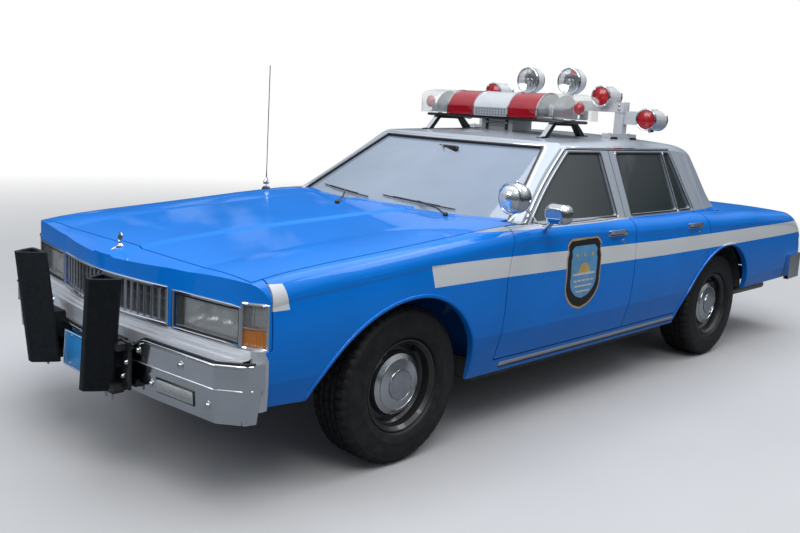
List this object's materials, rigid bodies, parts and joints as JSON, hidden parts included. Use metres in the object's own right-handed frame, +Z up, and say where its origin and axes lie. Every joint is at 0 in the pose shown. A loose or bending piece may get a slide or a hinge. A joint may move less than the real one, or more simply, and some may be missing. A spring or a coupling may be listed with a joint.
{
  "type": "police patrol car",
  "caption": "Full-size four-door patrol sedan with steered front wheels, opening doors, hood and trunk lid, roof light bar, roof lamps and padded push bars.",
  "frame": {"origin": "on the ground on the centre plane, midway between the front and rear axles", "axes": "+X forward, +Y to the driver's left, +Z up"},
  "size_m": [5.53, 2.0674, 1.8289],
  "materials": {
    "paint_blue": "glossy",
    "paint_silver": "glossy",
    "chrome": "polished",
    "black_steel": "satin",
    "underbody": "matte",
    "tyre_rubber": "matte",
    "pad_rubber": "satin",
    "clear_glass": "polished",
    "clear_lens": "polished",
    "red_lens": "polished",
    "red_plastic": "glossy",
    "cast_iron": "rough",
    "steel": "satin",
    "trim_plastic": "matte",
    "seat_fabric": "matte",
    "white_metal": "glossy"
  },
  "bodies": {
    "body": {"frame": "underbody", "engine": "cast_iron", "rear_axle": "underbody", "exhaust": "steel", "fuel_tank": "underbody", "floor": "underbody", "cowl": "paint_blue", "roof": "paint_silver", "body_side_left": "paint_blue", "body_side_right": "paint_blue", "rear_deck": "paint_blue", "rear_panel": "paint_blue", "tail_lamps": "red_plastic", "fender_left": "paint_blue", "fender_right": "paint_blue", "header_panel": "paint_blue", "grille": "chrome", "front_lamps": "clear_lens", "front_bumper": "chrome", "rear_bumper": "chrome", "push_bars": "pad_rubber", "windshield": "clear_glass", "rear_window": "clear_glass", "dashboard": "trim_plastic", "front_seat": "seat_fabric", "rear_seat": "seat_fabric", "steering_wheel": "trim_plastic", "light_bar": "black_steel", "light_domes": "red_lens", "roof_lamps": "white_metal", "spotlight": "chrome", "antenna": "chrome"},
    "hood": {"hood": "paint_blue"},
    "trunk_lid": {"trunk_lid": "paint_blue"},
    "steering_left": {"knuckle_left": "underbody"},
    "steering_right": {"knuckle_right": "underbody"},
    "front_left_door": {"door_front_left": "paint_blue", "glass_front_left": "clear_glass", "mirror": "chrome"},
    "front_left_wheel": {"wheel_front_left": "black_steel", "tyre_front_left": "tyre_rubber"},
    "rear_left_door": {"door_rear_left": "paint_blue", "glass_rear_left": "clear_glass"},
    "rear_left_wheel": {"wheel_rear_left": "black_steel", "tyre_rear_left": "tyre_rubber"},
    "front_right_door": {"door_front_right": "paint_blue", "glass_front_right": "clear_glass"},
    "front_right_wheel": {"wheel_front_right": "black_steel", "tyre_front_right": "tyre_rubber"},
    "rear_right_door": {"door_rear_right": "paint_blue", "glass_rear_right": "clear_glass"},
    "rear_right_wheel": {"wheel_rear_right": "black_steel", "tyre_rear_right": "tyre_rubber"}
  },
  "joints": [
    {"name": "steer_left", "type": "hinge", "parent": "body", "child": "steering_left", "pos_m": [1.473, 0.7, 0.348], "axis": [0, 0, 1], "range_deg": [-33, 33]},
    {"name": "roll_front_left", "type": "hinge", "parent": "steering_left", "child": "front_left_wheel", "pos_m": [1.473, 0.785, 0.348], "axis": [0, 1, 0], "continuous": true},
    {"name": "roll_rear_left", "type": "hinge", "parent": "body", "child": "rear_left_wheel", "pos_m": [-1.473, 0.772, 0.348], "axis": [0, 1, 0], "continuous": true},
    {"name": "open_front_door_left", "type": "hinge", "parent": "body", "child": "front_left_door", "pos_m": [0.824, 0.945, 0.6], "axis": [0, 0, -1], "range_deg": [0, 65]},
    {"name": "open_rear_door_left", "type": "hinge", "parent": "body", "child": "rear_left_door", "pos_m": [-0.325, 0.945, 0.6], "axis": [0, 0, -1], "range_deg": [0, 65]},
    {"name": "steer_right", "type": "hinge", "parent": "body", "child": "steering_right", "pos_m": [1.473, -0.7, 0.348], "axis": [0, 0, 1], "range_deg": [-33, 33]},
    {"name": "roll_front_right", "type": "hinge", "parent": "steering_right", "child": "front_right_wheel", "pos_m": [1.473, -0.785, 0.348], "axis": [0, 1, 0], "continuous": true},
    {"name": "roll_rear_right", "type": "hinge", "parent": "body", "child": "rear_right_wheel", "pos_m": [-1.473, -0.772, 0.348], "axis": [0, 1, 0], "continuous": true},
    {"name": "open_front_door_right", "type": "hinge", "parent": "body", "child": "front_right_door", "pos_m": [0.824, -0.945, 0.6], "axis": [0, 0, 1], "range_deg": [0, 65]},
    {"name": "open_rear_door_right", "type": "hinge", "parent": "body", "child": "rear_right_door", "pos_m": [-0.325, -0.945, 0.6], "axis": [0, 0, 1], "range_deg": [0, 65]},
    {"name": "open_hood", "type": "hinge", "parent": "body", "child": "hood", "pos_m": [0.725, 0, 1.012], "axis": [0, -1, 0], "range_deg": [0, 50]},
    {"name": "open_trunk_lid", "type": "hinge", "parent": "body", "child": "trunk_lid", "pos_m": [-1.755, 0, 0.975], "axis": [0, 1, 0], "range_deg": [0, 70]}
  ],
  "couplings": [
    {"joint": "steer_right", "follows": "steer_left", "ratio": 1}
  ]
}
